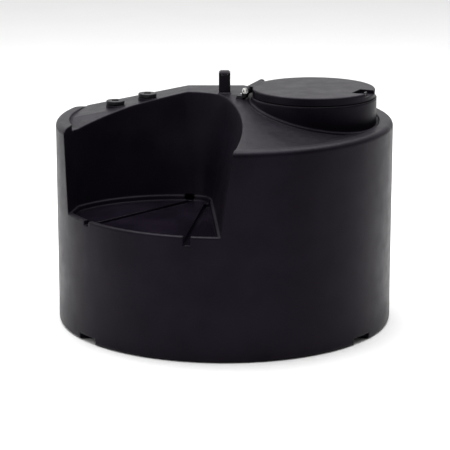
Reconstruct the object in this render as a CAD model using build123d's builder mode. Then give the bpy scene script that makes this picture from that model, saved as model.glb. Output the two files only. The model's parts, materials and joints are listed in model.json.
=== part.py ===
from build123d import *
import math
import os

# A round, rotomoulded livestock water tank with a flat back. An open bay in front left shows a
# shallow drained tray; a hinged lid covers the manway, and a float valve fills the tank inside.
# Millimetres, +Z up. The origin is on the drum's axis, on the ground; -Y is the front.

os.makedirs("parts", exist_ok=True)

# Shell
tank_r = 625.0
back_y = 245.0
back_corner_r = 45.0
wall = 9.0
base_round = 14.0
crown_corner_r = 1.0
gutter_z = 735.0
bead_w = 50.0
bead_h = 22.0
bead_round = 20.0

# Roof: a level plateau with facets that fall to the left, the right and the front
plateau_z = 835.0
left_fold_x = -138.0
right_fold_x = 73.0
front_fold_y = 43.0
left_slope = 0.20
right_slope = 0.179
front_slope = 0.13

# Bay and its tray
sill_z = 455.0
bay_rim_z = 835.0
bay_front_y = -1.3 * tank_r
tray_depth = 17.0
tray_ledge = 9.0
sill_w = 22.0
sill_round = 6.0
groove_w = 27.0
groove_depth = 15.0
outlet_past = 35.0
left_groove = [(-131.0, 2.0), (-468.0, -360.0)]
left_slot = [(-468.0, -360.0), (-0.79 * (tank_r + outlet_past), -0.62 * (tank_r + outlet_past))]
right_groove = [(-63.0, -56.0), (-137.0, -tank_r - outlet_past)]
port_x = -131.0
port_y = 22.0
port_w = 38.0
port_h = 19.0

# Bay outline in plan, at the sill and at bay_rim_z, from the front of the left jamb round the back
# to the front of the right wall: a line, three arcs through their middle points, and a line across
bay_sill = [
    (-677.0, bay_front_y),
    (-541.0, -151.0),
    (-345.0, 0.0),
    (-120.0, 22.0),
    (-70.0, 3.0),
    (-46.0, -45.0),
    (-29.0, -330.0),
    (-3.0, bay_front_y),
]
bay_rim = [
    (-724.0, bay_front_y),
    (-555.0, -117.0),
    (-375.0, 30.0),
    (-150.0, 103.0),
    (-42.0, 66.0),
    (22.0, -25.0),
    (79.0, -330.0),
    (-40.0, bay_front_y),
]

# Lifting pockets under the shell, two in front and two at the back
pocket_w = 56.0
pocket_h = 26.0
pocket_x = 495.0
pocket_depth = 60.0

# Manway neck, lid and gasket
lid_x = 330.0
lid_y = -10.0
lid_r = 227.0
neck_r = lid_r + 6.0
neck_wall = 9.0
neck_top_z = plateau_z + 5.0
neck_lip_r = lid_r - 27.0
neck_lip_h = 12.0
neck_foot_w = 9.0
neck_foot_h = 8.0
lid_h = 29.0
lid_wall = 6.0
lid_round = 6.0
spigot_gap = 3.0
spigot_h = 18.0
gasket_h = 3.0
gasket_w = 13.0

# Hinge, square to the line from the lid's centre at hinge_turn degrees from -X towards +Y
hinge_turn = 19.6
hinge_reach = lid_r + 8.0
hinge_z = neck_top_z + 22.0
hinge_len = 190.0
ear_len = 28.0
barrel_r = 12.0
knuckle_root = 6.0
knuckle_lift = 1.0
hinge_bolt_r = 6.0
hinge_bore_gap = 0.05
knuckle_gap = 1.0
bolt_head_r = 9.0
bolt_head_h = 10.0
bolt_chamfer = 0.8
bolt_key_r = 5.7
bolt_key_depth = 6.0
bolt_tail = 13.0
hinge_nut_r = 10.5
hinge_nut_h = 10.0
washer_r = 11.5
washer_h = 2.0
ear_in = 0.5
ear_out = 14.0
bracket_in = 10.0
bracket_reach = 34.0
bracket_h = 6.0
bracket_screw_r = 3.0
bracket_screw_u = 25.0
bracket_screw_s = [-60.0, 0.0, 60.0]
pad_margin = 4.0

# Lock recess in the lid, about opposite the hinge, at lock_turn degrees from +X towards -Y
lock_turn = 26.0
recess_len = 58.0
recess_w = 84.0
recess_depth = 14.0
recess_floor = 8.0
staple_w = 20.0
staple_t = 3.0
staple_r = neck_lip_r + 6.0
staple_h = 31.0
staple_eye_r = 3.2
staple_foot_l = 50.0
staple_foot_w = 10.0
staple_screw_x = 18.0
staple_screw_r = 2.0
staple_cap_r = 3.6
slot_gap = 4.0

# Two-inch plugs in bosses on the left facet
plug_spots = [(-410.0, 100.0), (-290.0, 120.0)]
plug_shank_r = 26.0
plug_head_r = plug_shank_r + 8.5
plug_head_h = 14.0
plug_boss_r = plug_head_r + 1.5
plug_shank_h = 22.0
plug_key = 25.0
plug_key_depth = 8.0
plug_chamfer = 2.0
plug_key_round = 2.0
insert_t = 4.0
insert_h = 24.0
boss_tail = 14.0
seal_h = 2.0
thread_gap = 0.05

# Vent riser behind the bay
vent_x = 0.5
vent_y = 84.0
vent_w = 43.0
vent_h = 66.0
vent_wall = 4.0
vent_foot_w = 52.0
vent_foot_h = 5.0
vent_cap_h = 18.0
vent_cap_chamfer = 7.0
vent_bore = 30.0

# Float valve on the back wall, under the manway
valve_x = 330.0
valve_z = 590.0
valve_r = 13.0
valve_len = 62.0
valve_flange_r = 24.0
valve_flange_h = 6.0
inlet_r = 11.5
inlet_bore_r = 4.0
tail_r = 10.5
tail_len = 24.0
relief_r = 9.5
relief_w = 2.0
wall_hole_gap = 0.1
nut_across = 34.0
nut_h = 9.0
piston_r = 6.0
piston_len = 30.0
piston_nose = 6.0
piston_gap = 0.05
pivot_drop = 20.0
pivot_out = 12.0
pivot_pin_r = 3.0
pivot_eye_r = 7.0
cheek_t = 4.0
cheek_gap = 0.5
eye_w = 10.0
finger_t = 5.0
finger_gap = 0.4
arm_len = 250.0
arm_r = 4.0
arm_slope = 24.0
ball_r = 60.0
ball_socket = 14.0

# Drain in the back wall
drain_x = -350.0
drain_z = 62.0
drain_boss_l = 26.0

facets = [
    (left_fold_x, 0, left_slope, 0),
    (right_fold_x, 0, -right_slope, 0),
    (0, front_fold_y, 0, front_slope),
    (left_fold_x, front_fold_y, left_slope, front_slope),
    (right_fold_x, front_fold_y, -right_slope, front_slope),
]


def save(solid, name):
    """Labels a finished piece and writes it under its name."""
    solid.label = name
    export_step(solid, f"parts/{name}.step")


def roof_z(x, y):
    """Height of the roof's outer face over a point."""
    heights = [plateau_z + sx * (x - px) + sy * (y - py) for px, py, sx, sy in facets]
    return min([plateau_z] + heights)


def drum(radius, back, corner, low, high):
    """A disc with a flat back, from one height to another."""
    with BuildPart() as body:
        with BuildSketch(Plane.XY.offset(low)) as plan:
            Circle(radius)
            with Locations((0, back - tank_r)):
                Rectangle(4 * tank_r, 2 * tank_r, mode=Mode.INTERSECT)
            fillet(plan.vertices(), corner)
        extrude(amount=high - low)
    return body.part


def crown(radius, back, low, shift):
    """The faceted roof over a drum, with every facet moved up by shift."""
    with BuildPart() as body:
        add(drum(radius, back, crown_corner_r, low, plateau_z + shift))
        for px, py, sx, sy in facets:
            facet = Plane(origin=(px, py, plateau_z + shift), z_dir=(-sx, -sy, 1))
            split(bisect_by=facet, keep=Keep.BOTTOM)
    return body.part


def bay_outline(height, grow):
    """The bay's outline at a height, with every point moved outwards by grow."""
    share = (height - sill_z) / (bay_rim_z - sill_z)
    plan = [Vector(*low) + (Vector(*high) - Vector(*low)) * share for low, high in zip(bay_sill, bay_rim)]
    before = [plan[0]] + plan[:-1]
    after = plan[1:] + [plan[-1]]
    turned = [Vector(a.Y - b.Y, b.X - a.X) for a, b in zip(before, after)]
    return [point + side.normalized() * grow for point, side in zip(plan, turned)]


def bay_block(low, high, grow):
    """The bay's volume between two heights, wider by grow on every side."""
    with BuildPart() as body:
        for height in (low, high):
            points = bay_outline(height, grow)
            with BuildSketch(Plane.XY.offset(height)):
                with BuildLine():
                    Line(points[0], points[1])
                    ThreePointArc(*points[1:4])
                    ThreePointArc(*points[3:6])
                    ThreePointArc(*points[5:8])
                    Line(points[7], points[0])
                make_face()
        loft(ruled=True)
    return body.part


def pocket_block(grow):
    """The four lifting pockets in the foot of the shell, wider by grow."""
    front = math.sqrt(tank_r**2 - pocket_x**2) - pocket_depth - grow
    back = back_y - pocket_depth - grow
    with BuildPart() as body:
        with BuildSketch():
            with Locations((-pocket_x, back + tank_r / 2), (pocket_x, back + tank_r / 2)):
                Rectangle(pocket_w + 2 * grow, tank_r)
            with Locations((-pocket_x, -front - tank_r / 2), (pocket_x, -front - tank_r / 2)):
                Rectangle(pocket_w + 2 * grow, tank_r)
        extrude(amount=pocket_h + grow)
    return body.part


def groove_block(ends, low, high):
    """A straight channel between two points in plan, one groove wide."""
    (x0, y0), (x1, y1) = ends
    turn = math.degrees(math.atan2(y1 - y0, x1 - x0))
    with BuildPart() as body:
        with BuildSketch(Plane.XY.offset(low)):
            with Locations(Location(((x0 + x1) / 2, (y0 + y1) / 2, 0), (0, 0, turn))):
                SlotCenterToCenter(math.hypot(x1 - x0, y1 - y0), groove_w)
        extrude(amount=high - low)
    return body.part


def ring(plane, outer, inner, height):
    """A plain ring standing on a plane."""
    with BuildPart() as body:
        with BuildSketch(plane):
            Circle(outer)
            Circle(inner, mode=Mode.SUBTRACT)
        extrude(amount=height)
    return body.part


def plug(plane):
    """A two-inch plug whose seal lies on the plane: keyed head above, threaded shank below."""
    with BuildPart() as body:
        with BuildSketch(plane.offset(seal_h)):
            Circle(plug_head_r)
        extrude(amount=plug_head_h)
        chamfer(body.edges().filter_by(GeomType.CIRCLE), plug_chamfer)
        with BuildSketch(plane.offset(seal_h + plug_head_h)):
            RectangleRounded(plug_key, plug_key, plug_key_round)
        extrude(amount=-plug_key_depth, mode=Mode.SUBTRACT)
        with BuildSketch(plane.offset(seal_h)):
            Circle(plug_shank_r)
        extrude(amount=-plug_shank_h - seal_h)
    return body.part


def screw(plane, radius, length, head_r, head_h):
    """A pan-headed screw whose head stands on the plane."""
    with BuildPart() as body:
        with BuildSketch(plane):
            Circle(head_r)
        extrude(amount=head_h)
        with BuildSketch(plane):
            Circle(radius)
        extrude(amount=-length)
    return body.part


sill_in_r = tank_r - sill_w
tray_z = sill_z - tray_depth
groove_z = tray_z - groove_depth
insert_r = plug_shank_r + thread_gap + insert_t
hinge_dir = (math.sin(math.radians(hinge_turn)), math.cos(math.radians(hinge_turn)), 0)
hinge_out = (-hinge_dir[1], hinge_dir[0], 0)
hinge_x = lid_x + hinge_reach * hinge_out[0]
hinge_y = lid_y + hinge_reach * hinge_out[1]
hinge_bore_r = hinge_bolt_r + hinge_bore_gap
hinge_plane = Plane(origin=(hinge_x, hinge_y, hinge_z), x_dir=hinge_out, z_dir=hinge_dir)
pad_plane = Plane(origin=(hinge_x, hinge_y, plateau_z), x_dir=hinge_out, z_dir=(0, 0, 1))
lock_in = (-math.cos(math.radians(lock_turn)), math.sin(math.radians(lock_turn)), 0)
lock_plane = Plane(origin=(lid_x, lid_y, neck_top_z), x_dir=lock_in, z_dir=(0, 0, 1))
lock_top = lock_plane.offset(gasket_h + lid_h)
neck_plane = Plane(origin=(lid_x, lid_y, neck_top_z), x_dir=hinge_out, z_dir=(0, 0, 1))
lid_plane = neck_plane.offset(gasket_h)
plug_planes = [Plane(origin=(x, y, roof_z(x + plug_head_r, y))) for x, y in plug_spots]
vent_plane = Plane(origin=(vent_x, vent_y, plateau_z))
valve_plane = Plane(origin=(valve_x, back_y - wall, valve_z), x_dir=(-1, 0, 0), z_dir=(0, 1, 0))
drain_plane = Plane(origin=(drain_x, back_y, drain_z), x_dir=(-1, 0, 0), z_dir=(0, 1, 0))
bracket_mid = (bracket_in + bracket_reach) / 2
bracket_w = bracket_reach - bracket_in
ear_at = hinge_len / 2 - ear_len / 2
knuckle_half = hinge_len / 2 - ear_len - knuckle_gap
screw_spots = [(bracket_screw_u, s) for s in bracket_screw_s]
staple_at = -staple_r
screw_in_lip = [(staple_at, -staple_screw_x), (staple_at, staple_screw_x)]

# ---- Shell: hollow, with the neck, plug bosses and every hole ------------------------------------
with BuildPart(mode=Mode.PRIVATE) as hollow:
    add(drum(tank_r - wall, back_y - wall, back_corner_r - wall, wall, gutter_z - wall))
    add(crown(tank_r - bead_w - wall, back_y - wall, gutter_z - wall - 1, -wall))
    add(bay_block(groove_z - wall, plateau_z + 5, wall + 3), mode=Mode.SUBTRACT)
    add(pocket_block(wall), mode=Mode.SUBTRACT)
    for plane in plug_planes:
        with BuildSketch(plane.offset(1)):
            Circle(insert_r + wall)
        extrude(amount=-insert_h - boss_tail, mode=Mode.SUBTRACT)
    with BuildSketch(drain_plane):
        Circle(insert_r + wall)
    extrude(amount=-drain_boss_l, mode=Mode.SUBTRACT)

with BuildPart(mode=Mode.PRIVATE) as neck_foot:
    add(crown(tank_r - bead_w, back_y, gutter_z - 1, neck_foot_h))
    with BuildSketch(neck_plane.offset(wall)):
        Circle(neck_r + neck_foot_w)
    extrude(amount=-neck_top_z / 2, mode=Mode.INTERSECT)

with BuildPart(mode=Mode.PRIVATE) as tray:
    add(bay_block(tray_z, sill_z + 1, -tray_ledge))
    with BuildSketch(Plane.XY.offset(tray_z - 1)):
        Circle(sill_in_r)
    extrude(amount=tray_depth + 4, mode=Mode.INTERSECT)

with BuildPart() as tank_body:
    add(drum(tank_r, back_y, back_corner_r, 0, gutter_z + bead_h))
    fillet(tank_body.faces().sort_by(Axis.Z)[0].edges(), base_round)
    with BuildSketch(Plane.XY.offset(gutter_z)):
        Circle(tank_r - bead_w)
    extrude(amount=2 * bead_h, mode=Mode.SUBTRACT)
    rim_arcs = tank_body.edges().filter_by(GeomType.CIRCLE).group_by(Axis.Z)[-1]
    fillet(rim_arcs.sort_by(SortBy.RADIUS)[-1], bead_round)
    add(crown(tank_r - bead_w + 1, back_y, gutter_z - 1, 0))
    with BuildSketch(neck_plane):
        Circle(neck_r)
    extrude(amount=-(neck_top_z - gutter_z + 1))
    add(neck_foot.part)
    for plane in plug_planes:
        with BuildSketch(plane):
            Circle(plug_boss_r)
        extrude(amount=-insert_h)
    with BuildSketch(pad_plane):
        with Locations((bracket_mid, 0)):
            Rectangle(bracket_w + pad_margin, hinge_len + pad_margin)
    extrude(amount=-3 * wall)
    add(hollow.part, mode=Mode.SUBTRACT)
    with BuildSketch(neck_plane.offset(-neck_lip_h)):
        Circle(neck_r - neck_wall)
    extrude(amount=-(neck_top_z - neck_lip_h - gutter_z + wall + 1), mode=Mode.SUBTRACT)
    with BuildSketch(neck_plane):
        Circle(neck_lip_r)
    extrude(amount=-neck_lip_h - 1, mode=Mode.SUBTRACT)
    add(bay_block(sill_z, plateau_z + 20, 0), mode=Mode.SUBTRACT)
    add(tray.part, mode=Mode.SUBTRACT)
    level = tank_body.edges().filter_by(GeomType.CIRCLE).filter_by_position(Axis.Z, sill_z, sill_z)
    fillet([edge for edge in level if round(edge.radius, 3) in (tank_r, sill_in_r)], sill_round)
    add(groove_block(left_groove, groove_z, sill_z + 1), mode=Mode.SUBTRACT)
    add(groove_block(left_slot, tray_z, sill_z + 1), mode=Mode.SUBTRACT)
    add(groove_block(right_groove, groove_z, sill_z + 1), mode=Mode.SUBTRACT)
    with BuildSketch(Plane.XZ.offset(-port_y - 4 * wall)):
        with Locations((port_x, tray_z + port_h / 2)):
            SlotOverall(port_w, port_h)
    extrude(amount=6 * wall, mode=Mode.SUBTRACT)
    add(pocket_block(0), mode=Mode.SUBTRACT)
    for plane in plug_planes:
        with BuildSketch(plane):
            Circle(insert_r)
        extrude(amount=-insert_h - boss_tail - wall, mode=Mode.SUBTRACT)
    with BuildSketch(drain_plane):
        Circle(insert_r)
    extrude(amount=-drain_boss_l - wall, mode=Mode.SUBTRACT)
    with BuildSketch(pad_plane):
        with Locations(*screw_spots):
            Circle(bracket_screw_r)
    extrude(amount=-5 * wall, mode=Mode.SUBTRACT)
    with BuildSketch(lock_plane):
        with Locations(*screw_in_lip):
            Circle(staple_screw_r)
    extrude(amount=-2 * neck_lip_h, mode=Mode.SUBTRACT)
    with BuildSketch(vent_plane):
        Circle(vent_bore / 2)
    extrude(amount=-2 * wall, mode=Mode.SUBTRACT)
    with BuildSketch(valve_plane.offset(-1)):
        Circle(inlet_r + wall_hole_gap)
    extrude(amount=wall + 2, mode=Mode.SUBTRACT)
save(tank_body.part, "tank_body")

# ---- Lid: a cap with a skirt, a spigot inside the neck, and the hinge knuckle --------------------
skirt_in_r = lid_r - gasket_w - 1
with BuildPart() as lid:
    with BuildSketch(lid_plane):
        Circle(lid_r)
    extrude(amount=lid_h)
    fillet(lid.edges().group_by(Axis.Z)[-1], lid_round)
    with BuildSketch(hinge_plane):
        Circle(barrel_r)
        with Locations((-barrel_r - knuckle_root, knuckle_lift)):
            Rectangle(barrel_r, barrel_r + knuckle_root)
        make_hull()
    extrude(amount=knuckle_half, both=True)
    with BuildSketch(lid_plane):
        Circle(skirt_in_r)
    extrude(amount=lid_h - lid_wall, mode=Mode.SUBTRACT)
    add(ring(lid_plane.offset(-spigot_h), neck_lip_r - spigot_gap, neck_lip_r - spigot_gap - lid_wall,
             spigot_h + lid_h - lid_wall))
    with BuildSketch(lock_top.offset(-recess_depth - recess_floor)):
        Circle(skirt_in_r + 1)
        with Locations((-lid_r, 0)):
            Rectangle(2 * recess_len + 2 * lid_wall, recess_w + 2 * lid_wall, mode=Mode.INTERSECT)
    extrude(amount=recess_floor + recess_depth - 1)
    with BuildSketch(lock_top):
        with Locations((-lid_r, 0)):
            Rectangle(2 * recess_len, recess_w)
    extrude(amount=-recess_depth, mode=Mode.SUBTRACT)
    with BuildSketch(lock_top):
        with Locations((staple_at, 0)):
            Rectangle(staple_t + 2 * slot_gap, staple_w + 2 * slot_gap)
    extrude(amount=-recess_depth - recess_floor - 1, mode=Mode.SUBTRACT)
    with BuildSketch(hinge_plane.offset(-hinge_len)):
        Circle(hinge_bore_r)
    extrude(amount=2 * hinge_len, mode=Mode.SUBTRACT)
save(lid.part, "lid")

with BuildPart() as lid_gasket:
    add(ring(neck_plane, lid_r - 1, lid_r - 1 - gasket_w, gasket_h))
save(lid_gasket.part, "lid_gasket")

# ---- Hinge: bracket on its pad, bolt, washers, nut and screws ------------------------------------
with BuildPart() as hinge_bracket:
    for side in (-1, 1):
        with BuildSketch(hinge_plane.offset(side * ear_at)):
            Circle(barrel_r)
            with Locations(((ear_in + ear_out) / 2, plateau_z - hinge_z + bracket_h / 2)):
                Rectangle(ear_out - ear_in, bracket_h)
            make_hull()
        extrude(amount=ear_len / 2, both=True)
    with BuildSketch(pad_plane):
        with Locations((bracket_mid, 0)):
            Rectangle(bracket_w, hinge_len)
    extrude(amount=bracket_h)
    with BuildSketch(hinge_plane.offset(-hinge_len)):
        Circle(hinge_bore_r)
    extrude(amount=2 * hinge_len, mode=Mode.SUBTRACT)
    with BuildSketch(pad_plane):
        with Locations(*screw_spots):
            Circle(bracket_screw_r)
    extrude(amount=4 * bracket_h, mode=Mode.SUBTRACT)
save(hinge_bracket.part, "hinge_bracket")

ear_face = hinge_plane.offset(hinge_len / 2)
ear_back = Plane(origin=hinge_plane.offset(-hinge_len / 2).origin, x_dir=hinge_out, z_dir=-hinge_plane.z_dir)
with BuildPart() as hinge_washers:
    add(ring(ear_face, washer_r, hinge_bore_r, washer_h))
    add(ring(ear_back, washer_r, hinge_bore_r, washer_h))
save(hinge_washers.part, "hinge_washers")

bolt_face = ear_back.offset(washer_h)
with BuildPart() as hinge_bolt:
    with BuildSketch(bolt_face):
        Circle(bolt_head_r)
    extrude(amount=bolt_head_h)
    chamfer(hinge_bolt.edges().filter_by(GeomType.CIRCLE), bolt_chamfer)
    with BuildSketch(bolt_face.offset(bolt_head_h)):
        RegularPolygon(bolt_key_r, 6)
    extrude(amount=-bolt_key_depth, mode=Mode.SUBTRACT)
    with BuildSketch(bolt_face):
        Circle(hinge_bolt_r)
    extrude(amount=-hinge_len - 2 * washer_h - bolt_tail)
save(hinge_bolt.part, "hinge_bolt")

with BuildPart() as hinge_nut:
    with BuildSketch(ear_face.offset(washer_h)):
        RegularPolygon(hinge_nut_r, 6)
        Circle(hinge_bore_r, mode=Mode.SUBTRACT)
    extrude(amount=hinge_nut_h)
save(hinge_nut.part, "hinge_nut")

with BuildPart() as bracket_screws:
    for u, s in screw_spots:
        spot = Plane(origin=pad_plane.offset(bracket_h).from_local_coords((u, s, 0)))
        add(screw(spot, bracket_screw_r - thread_gap, bracket_h + wall, 2 * bracket_screw_r, bracket_screw_r))
save(bracket_screws.part, "bracket_screws")

# ---- Lock staple on the neck's lip ---------------------------------------------------------------
with BuildPart() as lock_staple:
    with BuildSketch(lock_plane):
        with Locations((staple_at, 0)):
            Rectangle(staple_foot_w, staple_foot_l)
    extrude(amount=staple_t)
    with BuildSketch(lock_plane):
        with Locations((staple_at, 0)):
            Rectangle(staple_t, staple_w)
    extrude(amount=staple_h)
    eye_z = staple_h - 2 * staple_eye_r
    with BuildSketch(Plane(origin=lock_plane.from_local_coords((0, 0, eye_z)), z_dir=lock_in)):
        Circle(staple_eye_r)
    extrude(amount=-lid_r, mode=Mode.SUBTRACT)
    with BuildSketch(lock_plane):
        with Locations(*screw_in_lip):
            Circle(staple_screw_r)
    extrude(amount=2 * staple_t, mode=Mode.SUBTRACT)
save(lock_staple.part, "lock_staple")

with BuildPart() as staple_screws:
    for u, s in screw_in_lip:
        spot = Plane(origin=lock_plane.offset(staple_t).from_local_coords((u, s, 0)))
        add(screw(spot, staple_screw_r - thread_gap, staple_t + neck_lip_h - 1, staple_cap_r, staple_screw_r))
save(staple_screws.part, "staple_screws")

# ---- Plugs, seals and threaded inserts -----------------------------------------------------------
for name, plane in zip(["fill_plug", "spare_plug", "drain_plug"], plug_planes + [drain_plane]):
    save(plug(plane), name)
    save(ring(plane, plug_head_r - 1, plug_shank_r + thread_gap, seal_h), name + "_seal")
    save(ring(plane.offset(-insert_h), insert_r, plug_shank_r + thread_gap, insert_h), name + "_insert")

# ---- Vent riser and its cap ----------------------------------------------------------------------
with BuildPart() as vent_riser:
    with BuildSketch(vent_plane):
        RectangleRounded(vent_foot_w, vent_foot_w, vent_wall)
    with BuildSketch(vent_plane.offset(vent_foot_h)):
        RectangleRounded(vent_w, vent_w, vent_wall / 2)
    loft()
    with BuildSketch(vent_plane.offset(vent_foot_h)):
        RectangleRounded(vent_w, vent_w, vent_wall / 2)
    extrude(amount=vent_h - vent_foot_h)
    with BuildSketch(vent_plane):
        Circle(vent_bore / 2)
    extrude(amount=vent_h, mode=Mode.SUBTRACT)
save(vent_riser.part, "vent_riser")

vent_top = vent_plane.offset(vent_h)
with BuildPart() as vent_cap:
    with BuildSketch(vent_top):
        Rectangle(vent_w, vent_w)
    extrude(amount=vent_cap_h)
    chamfer(vent_cap.edges().group_by(Axis.Z)[-1], vent_cap_chamfer)
    with BuildSketch(vent_top):
        Circle(vent_bore / 2 - thread_gap)
    extrude(amount=-vent_cap_h)
    with BuildSketch(vent_top.offset(-vent_cap_h)):
        Circle(vent_bore / 2 - vent_wall)
    extrude(amount=vent_cap_h + vent_wall, mode=Mode.SUBTRACT)
    for turn in (Plane.XZ, Plane.YZ):
        middle = Plane(origin=vent_top.offset(1.5 * vent_wall).origin, x_dir=turn.x_dir, z_dir=turn.z_dir)
        with BuildSketch(middle):
            Rectangle(vent_w - 4 * vent_wall, vent_wall)
        extrude(amount=vent_w, both=True, mode=Mode.SUBTRACT)
save(vent_cap.part, "vent_cap")

# ---- Float valve: body through the back wall, seal, nut, piston, lever pin, lever and ball --------
seal_face = valve_plane.offset(-seal_h)
valve_front = seal_face.offset(-valve_flange_h - valve_len)
nut_face = valve_plane.offset(wall + nut_h)
pivot_y = valve_front.origin.Y - pivot_out
pivot_z = valve_z - pivot_drop
pivot_plane = Plane(origin=(valve_x, pivot_y, pivot_z), x_dir=(0, 1, 0), z_dir=(1, 0, 0))
cheek_in = eye_w / 2 + cheek_gap
arm_dir = (0, -math.cos(math.radians(arm_slope)), -math.sin(math.radians(arm_slope)))
ball_at = (valve_x, pivot_y + arm_len * arm_dir[1], pivot_z + arm_len * arm_dir[2])

with BuildPart() as float_valve:
    with BuildSketch(seal_face.offset(-valve_flange_h)):
        Circle(valve_flange_r)
    extrude(amount=valve_flange_h)
    with BuildSketch(valve_front):
        Circle(valve_r)
    extrude(amount=valve_len)
    for side in (-1, 1):
        with BuildSketch(pivot_plane.offset(side * (cheek_in + cheek_t / 2))):
            Circle(pivot_eye_r)
            with Locations((pivot_out + 2 * pivot_eye_r, pivot_drop / 2 + 2)):
                Rectangle(2 * pivot_eye_r, pivot_drop - 2)
            make_hull()
        extrude(amount=cheek_t / 2, both=True)
    with BuildSketch(pivot_plane.offset(-valve_r)):
        Circle(pivot_pin_r + piston_gap)
    extrude(amount=2 * valve_r, mode=Mode.SUBTRACT)
    with BuildSketch(seal_face):
        Circle(inlet_r)
    extrude(amount=seal_h + wall + nut_h)
    with BuildSketch(nut_face):
        Circle(relief_r)
    extrude(amount=relief_w)
    with BuildSketch(nut_face.offset(relief_w)):
        Circle(tail_r)
    extrude(amount=tail_len)
    with BuildSketch(nut_face.offset(relief_w + tail_len)):
        Circle(inlet_bore_r)
    extrude(amount=-(valve_front.origin - nut_face.origin).length - relief_w - tail_len, mode=Mode.SUBTRACT)
    with BuildSketch(valve_front):
        Circle(piston_r + piston_gap)
    extrude(amount=piston_len, mode=Mode.SUBTRACT)
save(float_valve.part, "float_valve")

save(ring(seal_face, valve_flange_r - 2, inlet_r + wall_hole_gap, seal_h), "float_valve_seal")

with BuildPart() as float_valve_nut:
    with BuildSketch(valve_plane.offset(wall)):
        RegularPolygon(nut_across / 2, 6, major_radius=False)
        Circle(inlet_r + thread_gap, mode=Mode.SUBTRACT)
    extrude(amount=nut_h)
save(float_valve_nut.part, "float_valve_nut")

with BuildPart() as valve_piston:
    with BuildSketch(valve_front.offset(-piston_nose)):
        Circle(piston_r)
    extrude(amount=piston_len - 1)
save(valve_piston.part, "valve_piston")

with BuildPart() as lever_pin:
    with BuildSketch(pivot_plane):
        Circle(pivot_pin_r)
    extrude(amount=cheek_in + cheek_t + 1, both=True)
save(lever_pin.part, "lever_pin")

with BuildPart() as float_arm:
    with BuildSketch(pivot_plane):
        Circle(pivot_eye_r)
    extrude(amount=eye_w / 2, both=True)
    finger_y = valve_front.origin.Y - piston_nose - finger_gap - finger_t / 2 - pivot_y
    with BuildSketch(pivot_plane):
        with Locations((finger_y, pivot_drop / 2)):
            Rectangle(finger_t, pivot_drop + pivot_pin_r)
    extrude(amount=eye_w / 2, both=True)
    with BuildSketch(Plane(origin=(valve_x, pivot_y, pivot_z), z_dir=arm_dir)):
        Circle(arm_r)
    extrude(amount=arm_len - ball_r + ball_socket)
    with BuildSketch(pivot_plane.offset(-valve_r)):
        Circle(pivot_pin_r + piston_gap)
    extrude(amount=2 * valve_r, mode=Mode.SUBTRACT)
save(float_arm.part, "float_arm")

with BuildPart() as float_ball:
    with Locations(ball_at):
        Sphere(ball_r)
    with BuildSketch(Plane(origin=ball_at, z_dir=arm_dir).offset(-ball_r - 1)):
        Circle(arm_r + thread_gap)
    extrude(amount=ball_socket + 1, mode=Mode.SUBTRACT)
save(float_ball.part, "float_ball")
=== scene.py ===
"""Looks of the round livestock water tank: finishes for its moulded shell, lid, plugs, vent and
metal fittings, with a pale studio floor, soft light and a camera. Metres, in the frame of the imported
model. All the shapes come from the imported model; this script gives them their surfaces."""

import json
import math

import bpy
import numpy as np
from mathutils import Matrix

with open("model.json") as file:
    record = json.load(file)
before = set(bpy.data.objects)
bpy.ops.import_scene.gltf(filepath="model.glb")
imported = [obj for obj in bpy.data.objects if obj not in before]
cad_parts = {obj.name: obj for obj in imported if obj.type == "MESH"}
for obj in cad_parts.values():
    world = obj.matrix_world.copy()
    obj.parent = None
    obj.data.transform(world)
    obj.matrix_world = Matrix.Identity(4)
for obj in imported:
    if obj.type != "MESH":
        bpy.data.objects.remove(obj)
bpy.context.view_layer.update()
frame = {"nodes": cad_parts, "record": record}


# ---- Shader helpers ------------------------------------------------------------------------------
# Sockets of the Mix node: its factor, its two values, its two colors, and what comes out.
mix_factor = 0
mix_values = (2, 3)
mix_colors = (6, 7)
mix_value_out = 0
mix_color_out = 2

# Ranges: a share from none to all, the same turned round, and a normal's rise from a wall to level.
whole = (0.0, 1.0)
turned = (1.0, 0.0)
steep_to_level = (0.35, 0.98)

bevel_samples = 8


def shade(color, times, plus=0.0):
    """A color made darker or lighter in every channel."""
    return tuple(channel * times + plus for channel in color)


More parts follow.
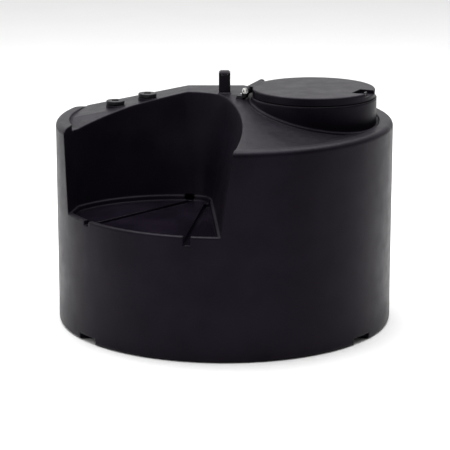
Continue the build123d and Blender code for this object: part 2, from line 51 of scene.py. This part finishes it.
class Graph:
    """A material's node tree with short calls for the nodes that the finishes share."""

    def __init__(self, name, color, roughness, metallic=0.0, specular=0.5):
        self.material = bpy.data.materials.new(name)
        self.material.use_nodes = True
        self.nodes = self.material.node_tree.nodes
        self.links = self.material.node_tree.links
        self.shader = self.nodes["Principled BSDF"]
        self.shader.inputs["Base Color"].default_value = (*color, 1.0)
        self.shader.inputs["Roughness"].default_value = roughness
        self.shader.inputs["Metallic"].default_value = metallic
        self.shader.inputs["Specular IOR Level"].default_value = specular
        self.place = self.nodes.new("ShaderNodeTexCoord").outputs["Object"]

    def stretched(self, scale):
        """Object coordinates, scaled along each axis."""
        mapping = self.nodes.new("ShaderNodeMapping")
        mapping.inputs["Scale"].default_value = scale
        self.links.new(self.place, mapping.inputs["Vector"])
        return mapping.outputs["Vector"]

    def noise(self, scale, detail=3.0, vector=None):
        """Soft three-dimensional noise, from about 0.3 to 0.7."""
        node = self.nodes.new("ShaderNodeTexNoise")
        node.inputs["Scale"].default_value = scale
        node.inputs["Detail"].default_value = detail
        self.links.new(vector or self.place, node.inputs["Vector"])
        return node.outputs["Fac"]

    def cells(self, scale):
        """Distance to the nearest point of a scatter, for pits."""
        node = self.nodes.new("ShaderNodeTexVoronoi")
        node.inputs["Scale"].default_value = scale
        self.links.new(self.place, node.inputs["Vector"])
        return node.outputs["Distance"]

    def spread(self, value, start, end):
        """A value moved from the range start to the range end, held at its ends."""
        node = self.nodes.new("ShaderNodeMapRange")
        for name, number in zip(("From Min", "From Max", "To Min", "To Max"), (*start, *end)):
            node.inputs[name].default_value = number
        self.links.new(value, node.inputs["Value"])
        return node.outputs["Result"]

    def times(self, a, b):
        """Two values multiplied."""
        node = self.nodes.new("ShaderNodeMath")
        node.operation = "MULTIPLY"
        self.links.new(a, node.inputs[0])
        self.links.new(b, node.inputs[1])
        return node.outputs[0]

    def blend_color(self, factor, first, second):
        """One color where the factor is 0, another where it is 1; each is a color or an output."""
        node = self.nodes.new("ShaderNodeMix")
        node.data_type = "RGBA"
        self.links.new(factor, node.inputs[mix_factor])
        for place, color in zip(mix_colors, (first, second)):
            if isinstance(color, tuple):
                node.inputs[place].default_value = (*color, 1.0)
            else:
                self.links.new(color, node.inputs[place])
        return node.outputs[mix_color_out]

    def mixed(self, factor, first, second):
        """One value where the factor is 0, another where it is 1."""
        node = self.nodes.new("ShaderNodeMix")
        for place, output in zip((mix_factor, *mix_values), (factor, first, second)):
            self.links.new(output, node.inputs[place])
        return node.outputs[mix_value_out]

    def height(self, low, high):
        """0 below one height of the object, 1 above another."""
        split = self.nodes.new("ShaderNodeSeparateXYZ")
        self.links.new(self.place, split.inputs["Vector"])
        return self.spread(split.outputs["Z"], (low, high), whole)

    def upward(self):
        """1 on faces that look up, 0 on walls."""
        geometry = self.nodes.new("ShaderNodeNewGeometry")
        split = self.nodes.new("ShaderNodeSeparateXYZ")
        self.links.new(geometry.outputs["Normal"], split.inputs["Vector"])
        return self.spread(split.outputs["Z"], steep_to_level, whole)

    def color(self, output):
        """The surface's color comes from a node's output."""
        self.links.new(output, self.shader.inputs["Base Color"])

    def roughness(self, output):
        """The surface's roughness comes from a node's output."""
        self.links.new(output, self.shader.inputs["Roughness"])

    def bumps(self, layers, edge=0.0):
        """Bump layers of (height, depth in metres), over edges shaded as if rounded by a radius."""
        normal = None
        if edge > 0:
            bevel = self.nodes.new("ShaderNodeBevel")
            bevel.samples = bevel_samples
            bevel.inputs["Radius"].default_value = edge
            normal = bevel.outputs["Normal"]
        for height, depth in layers:
            bump = self.nodes.new("ShaderNodeBump")
            bump.inputs["Strength"].default_value = 1.0
            bump.inputs["Distance"].default_value = depth
            self.links.new(height, bump.inputs["Height"])
            if normal:
                self.links.new(normal, bump.inputs["Normal"])
            normal = bump.outputs["Normal"]
        self.links.new(normal, self.shader.inputs["Normal"])


# ---- Finishes ------------------------------------------------------------------------------------
# Heights between which the tray's film of water ends.
tray_wet_z = 0.446
tray_dry_z = 0.452

# Gray that faces looking up are blended toward: partly real dust, partly a painted sheen for the light
# that falls on tops.
dust_and_sheen_gray = (0.20, 0.195, 0.20)
dust_and_sheen_least = 0.25
cool_glint = (0.88, 0.74, 1.0)

# The part of a noise's range that a finish spreads out.
middle = (0.3, 0.7)
soft_middle = (0.35, 0.65)

# Depths of the surface textures, in metres.
peel_depth = 0.00022
pit_depth = 0.00012
grain_depth = 0.00008
powder_depth = 0.00005
brush_depth = 0.00003
wax_depth = 0.00002
dimple_depth = 0.0004


def moulded_polyethylene(name, color, edge, dust_and_sheen, swell, shine=0.38):
    """Rotomoulded polyethylene: orange peel, fine pits and faint bloom, with a breath of dust and a
    painted sheen that lighten the faces that look up, and a film of water on the tray's floor."""
    g = Graph(name, color, shine, specular=0.08)
    g.shader.inputs["Specular Tint"].default_value = (*cool_glint, 1.0)
    cloud = g.noise(scale=5.0, detail=4.0)
    fine = g.noise(scale=70.0, detail=3.0)
    peel = g.noise(scale=260.0, detail=2.0)
    pits = g.cells(scale=520.0)
    darker = shade(color, times=0.8)
    lighter = shade(color, times=1.3, plus=0.001)
    bloom = g.blend_color(g.spread(cloud, soft_middle, whole), darker, lighter)
    level = g.upward()
    dry = g.height(tray_wet_z, tray_dry_z)
    # Faces that look up are lightened toward gray: partly dust, partly a painted sheen where light falls
    # from above.
    dust_and_sheen_mask = g.times(g.times(level, dry), g.spread(fine, (0.3, 0.75), (dust_and_sheen_least * dust_and_sheen, dust_and_sheen)))
    g.color(g.blend_color(dust_and_sheen_mask, bloom, dust_and_sheen_gray))
    satin = g.spread(g.noise(scale=18.0, detail=5.0), middle, (shine - 0.03, shine + 0.05))
    film = g.spread(g.noise(scale=12.0, detail=4.0), middle, (0.03, 0.10))
    g.roughness(g.mixed(g.times(level, g.spread(dry, whole, turned)), satin, film))
    g.bumps([(cloud, swell), (peel, peel_depth), (pits, pit_depth)], edge)
    return g.material


def moulded_nylon(name, color, shine):
    """Injection-moulded nylon: spark-eroded grain and faint flow lines."""
    g = Graph(name, color, shine, specular=0.16)
    grain = g.noise(scale=1100.0, detail=2.0)
    flow = g.noise(scale=9.0, detail=3.0, vector=g.stretched((1.0, 1.0, 6.0)))
    lighter = shade(color, times=1.5, plus=0.002)
    g.color(g.blend_color(g.spread(flow, (0.35, 0.7), whole), color, lighter))
    g.roughness(g.spread(grain, middle, (shine - 0.05, shine + 0.08)))
    g.bumps([(grain, grain_depth)], edge=0.0012)
    return g.material


def nitrile(name, color, powder):
    """Matt black sealing rubber with a powdery bloom."""
    g = Graph(name, color, roughness=0.7, specular=0.06)
    bloom = g.noise(scale=160.0, detail=4.0)
    g.color(g.blend_color(g.spread(bloom, (0.4, 0.75), whole), color, powder))
    g.roughness(g.spread(bloom, middle, (0.6, 0.82)))
    g.bumps([(g.noise(scale=900.0), powder_depth)], edge=0.0005)
    return g.material


def metal(name, color, shine, brush, tarnish, amount):
    """Metal with fine brush marks drawn out along an axis and a patchy tarnish."""
    g = Graph(name, color, shine, metallic=1.0)
    marks = g.noise(scale=90.0, detail=4.0, vector=g.stretched(brush))
    patches = g.noise(scale=60.0, detail=5.0)
    g.color(g.blend_color(g.spread(patches, (0.45, 0.75), (0.0, amount)), color, tarnish))
    g.roughness(g.spread(marks, middle, (shine - 0.08, shine + 0.14)))
    g.bumps([(marks, brush_depth)], edge=0.0006)
    return g.material


def acetal(name, color):
    """Smooth white acetal with a faint wax look."""
    g = Graph(name, color, roughness=0.35)
    g.roughness(g.spread(g.noise(scale=220.0), middle, (0.30, 0.42)))
    g.shader.inputs["Subsurface Weight"].default_value = 0.15
    g.shader.inputs["Subsurface Radius"].default_value = (0.004, 0.004, 0.003)
    g.bumps([(g.noise(scale=500.0), wax_depth)], edge=0.0005)
    return g.material


def blown_float(name, color):
    """Blow-moulded float: glossy, with a waterline stain and a chalky tint."""
    g = Graph(name, color, roughness=0.3)
    stain = g.noise(scale=30.0, detail=5.0)
    g.color(g.blend_color(g.spread(stain, (0.4, 0.72), (0.0, 0.6)), color, shade(color, times=0.45)))
    g.roughness(g.spread(stain, middle, (0.24, 0.45)))
    g.bumps([(g.noise(scale=45.0), dimple_depth)])
    return g.material


tank_black = (0.0042, 0.0030, 0.0056)
lid_black = (0.0046, 0.0035, 0.0060)
vent_black = (0.0060, 0.0050, 0.0074)
plug_black = (0.0070, 0.0062, 0.0082)
bracket_black = (0.0066, 0.0058, 0.0078)
# Black rubber, made darker still so the seal reads as the shaded gap under the lid: partly its own
# black, partly painted shade.
rubber_black_gap_shade = (0.0025, 0.0025, 0.0026)
rubber_powder = (0.008, 0.008, 0.0085)
piston_white = (0.75, 0.75, 0.72)
float_orange = (0.55, 0.12, 0.03)

# Edge is the radius that the shading gives an edge, the third number the share of gray on faces that
# look up (dust and painted top sheen), and swell the depth of slow waves.
moulded = {
    "tank_plastic": dict(color=tank_black, edge=0.010, dust_and_sheen=0.05, swell=0.0006),
    "lid_plastic": dict(color=lid_black, edge=0.004, dust_and_sheen=0.07, swell=0.0002),
    "vent_plastic": dict(color=vent_black, edge=0.0015, dust_and_sheen=0.10, swell=0.0005, shine=0.36),
}
# Color, roughness, stretch of the brush marks along X, Y and Z, tarnish color, share of tarnish.
metals = {
    "stainless_bolt": ((0.62, 0.62, 0.60), 0.28, (1, 1, 9), (0.42, 0.41, 0.39), 0.4),
    "stainless_small": ((0.58, 0.58, 0.57), 0.34, (6, 6, 1), (0.40, 0.39, 0.37), 0.5),
    "stainless_plate": ((0.16, 0.16, 0.165), 0.55, (1, 1, 8), (0.10, 0.10, 0.10), 0.5),
    "brass_insert": ((0.62, 0.46, 0.22), 0.34, (1, 1, 12), (0.34, 0.24, 0.12), 0.7),
    "brass_valve": ((0.64, 0.48, 0.24), 0.36, (1, 10, 1), (0.30, 0.22, 0.12), 0.8),
    "arm_brass": ((0.64, 0.49, 0.26), 0.32, (8, 1, 1), (0.33, 0.24, 0.13), 0.7),
}
finishes = {
    **{name: moulded_polyethylene(name, **look) for name, look in moulded.items()},
    "plug_plastic": moulded_nylon("plug_plastic", plug_black, shine=0.40),
    "bracket_plastic": moulded_nylon("bracket_plastic", bracket_black, shine=0.44),
    "seal_rubber": nitrile("seal_rubber", rubber_black_gap_shade, rubber_powder),
    **{name: metal(name, *look) for name, look in metals.items()},
    "piston_plastic": acetal("piston_plastic", piston_white),
    "ball_plastic": blown_float("ball_plastic", float_orange),
}

slot_of = {part["node"]: part["material_slot"] for part in frame["record"]["subparts"]}
for node, item in frame["nodes"].items():
    for holder in item.material_slots:
        holder.material = finishes[slot_of[node]]


# ---- Stage, light and camera ---------------------------------------------------------------------
floor_gray = (0.86, 0.86, 0.86)
floor_half = 30.0
floor_z = -0.0005

# The surround's strength rises along a direction, from one reach along it to another.
brighter_towards = (-0.62, 0.55, 0.56)
surround_reach = (-0.7, 0.9)
surround_strength = (0.01, 1.15)

box_place = (0.0, 0.6, 5.5)
box_size = (7.0, 5.0)
box_watts = 620

# Tilt is in degrees; lens and film are in millimetres.
camera_aim = (0.0021, 0.0, 0.3452)
camera_tilt = 14.06
camera_distance = 7.676
camera_lens = 163.1
camera_film = 36.0


def matt_paint(name, color, roughness):
    """Pale matt paint with a faint cloudiness."""
    g = Graph(name, color, roughness, specular=0.2)
    g.color(g.blend_color(g.spread(g.noise(scale=2.0), middle, whole), color, shade(color, times=0.985)))
    return g.material


def studio_floor():
    """A large flat floor, a hair under the tank."""
    mesh = bpy.data.meshes.new("studio_floor")
    signs = ((-1, -1), (1, -1), (1, 1), (-1, 1))
    corners = [(floor_half * x, floor_half * y, floor_z) for x, y in signs]
    mesh.from_pydata(corners, [], [(0, 1, 2, 3)])
    mesh.materials.append(matt_paint("floor_paint", floor_gray, roughness=0.85))
    floor = bpy.data.objects.new("studio_floor", mesh)
    bpy.context.scene.collection.objects.link(floor)


def softbox(name, place, target, size, watts):
    """A rectangular area light that looks at a point."""
    light = bpy.data.lights.new(name, "AREA")
    light.shape = "RECTANGLE"
    light.size, light.size_y = size
    light.energy = watts
    lamp = bpy.data.objects.new(name, light)
    bpy.context.scene.collection.objects.link(lamp)
    aim = np.array(target) - np.array(place)
    lamp.location = place
    lamp.rotation_euler = (
        math.atan2(math.hypot(aim[0], aim[1]), -aim[2]),
        0.0,
        math.atan2(aim[1], aim[0]) - math.pi / 2,
    )


def studio_light():
    """A surround that brightens behind, above and to the left, with one broad box overhead."""
    world = bpy.data.worlds.new("studio")
    bpy.context.scene.world = world
    world.use_nodes = True
    nodes = world.node_tree.nodes
    links = world.node_tree.links
    background = nodes["Background"]
    background.inputs["Color"].default_value = (1.0, 1.0, 1.0, 1.0)
    direction = nodes.new("ShaderNodeTexCoord").outputs["Generated"]
    towards = nodes.new("ShaderNodeVectorMath")
    towards.operation = "DOT_PRODUCT"
    towards.inputs[1].default_value = brighter_towards
    ramp = nodes.new("ShaderNodeMapRange")
    ramp.inputs["From Min"].default_value, ramp.inputs["From Max"].default_value = surround_reach
    ramp.inputs["To Min"].default_value, ramp.inputs["To Max"].default_value = surround_strength
    links.new(direction, towards.inputs[0])
    links.new(towards.outputs["Value"], ramp.inputs["Value"])
    links.new(ramp.outputs["Result"], background.inputs["Strength"])
    softbox("top_box", box_place, (0.0, 0.0, 0.0), box_size, box_watts)


def studio_camera():
    """A long lens in front, a little above the level, aimed at the middle of the tank."""
    tilt = math.radians(camera_tilt)
    data = bpy.data.cameras.new("camera")
    data.sensor_width = camera_film
    data.lens = camera_lens
    camera = bpy.data.objects.new("camera", data)
    bpy.context.scene.collection.objects.link(camera)
    x, y, z = camera_aim
    camera.location = (x, y - camera_distance * math.cos(tilt), z + camera_distance * math.sin(tilt))
    camera.rotation_euler = (math.pi / 2 - tilt, 0.0, 0.0)
    bpy.context.scene.camera = camera
    bpy.context.scene.view_settings.view_transform = "Standard"


studio_floor()
studio_light()
studio_camera()
